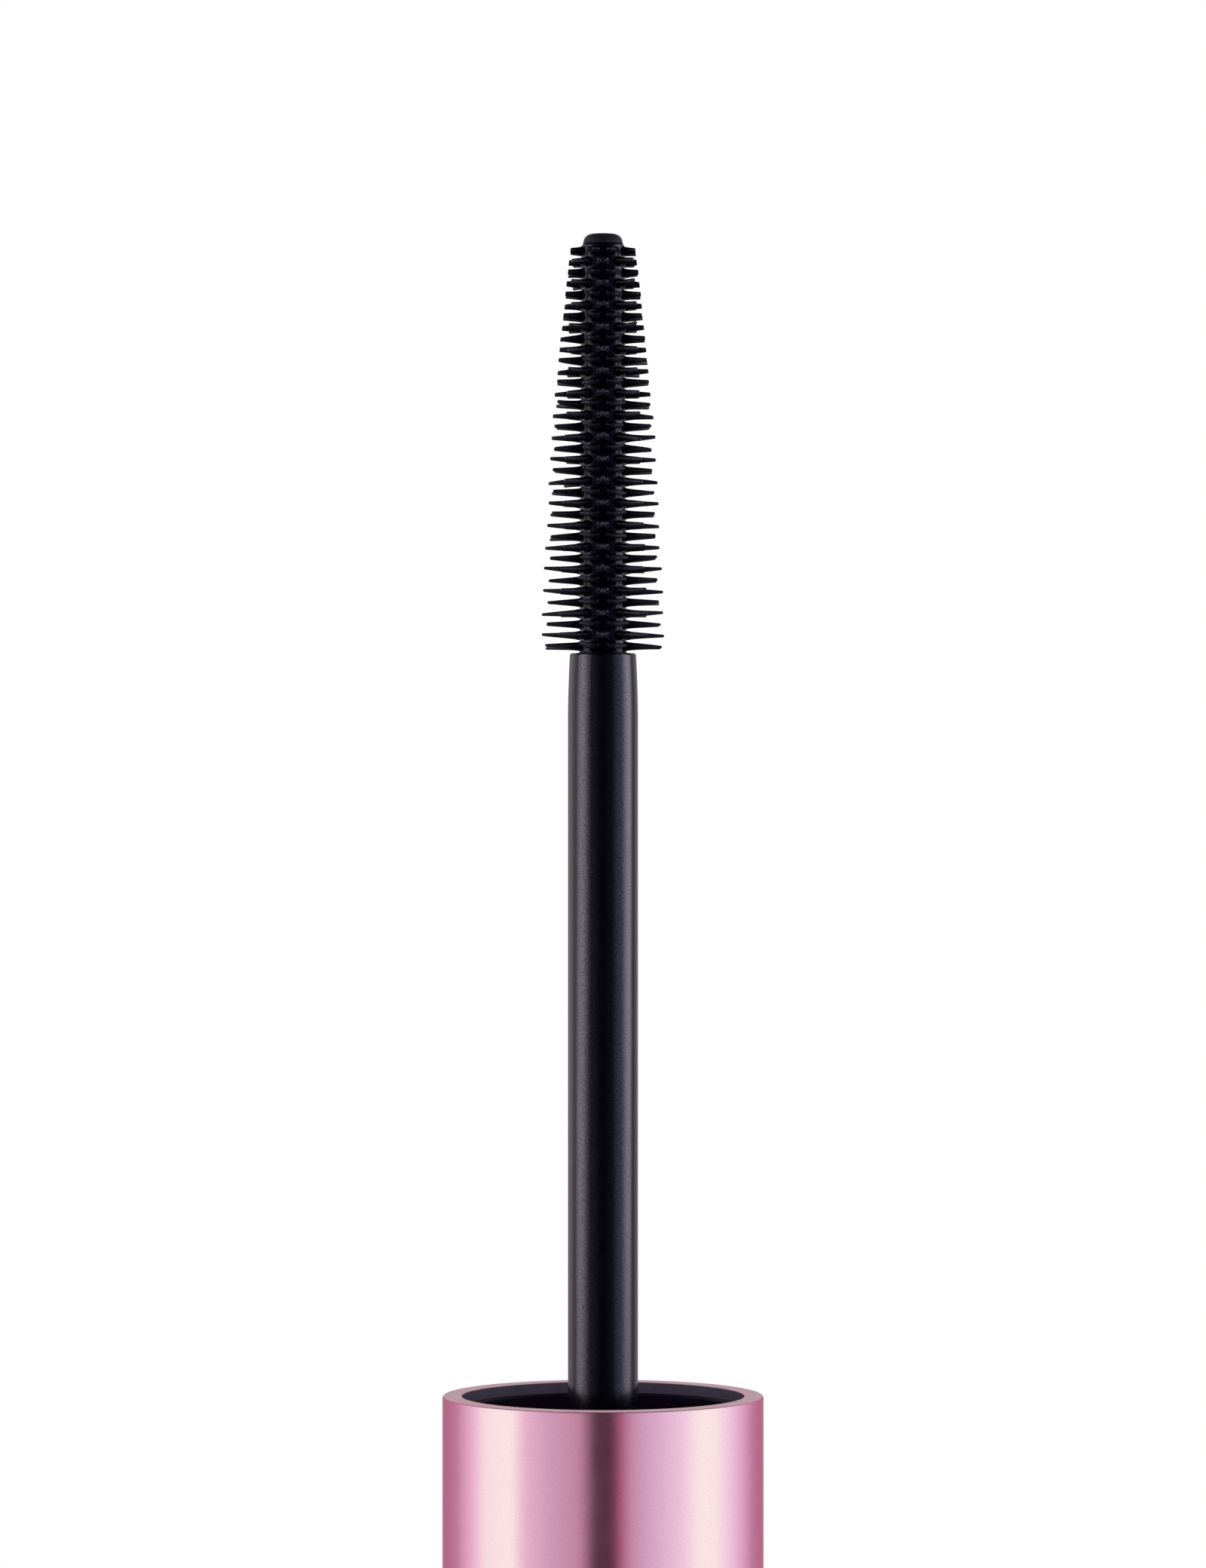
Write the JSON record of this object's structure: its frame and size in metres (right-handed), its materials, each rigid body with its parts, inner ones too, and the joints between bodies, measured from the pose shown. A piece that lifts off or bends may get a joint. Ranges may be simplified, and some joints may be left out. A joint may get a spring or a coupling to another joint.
{
  "type": "mascara applicator",
  "caption": "Tall round mascara cap standing on its closed end, with a slim wand rising from its open, threaded mouth to a tapered moulded brush of short bristles.",
  "frame": {"origin": "centre of the closed end's outer face, which the cap stands on", "axes": "+Z along the cap and wand, from the closed end to the brush tip; the cap, wand and brush are round about Z, and +X is square to a flat side of the trimmed brush tip"},
  "size_m": [0.019, 0.019, 0.1157],
  "materials": {
    "cap_metallised": "pink metallised lacquer, satin, over black plastic",
    "weight_steel": "turned and tumbled",
    "liner_plastic": "black, moulded",
    "seal_foam": "closed-cell foam, skin on both faces",
    "stem_plastic": "black, satin",
    "core_plastic": "black, satin",
    "bristle_elastomer": "black elastomer, matt"
  },
  "bodies": {
    "root": {"outer_cap": "cap_metallised", "cap_weight": "weight_steel", "inner_cap": "liner_plastic", "neck_seal": "seal_foam", "stem": "stem_plastic", "brush_core": "core_plastic", "bristle_sleeve": "bristle_elastomer"}
  },
  "joints": []
}
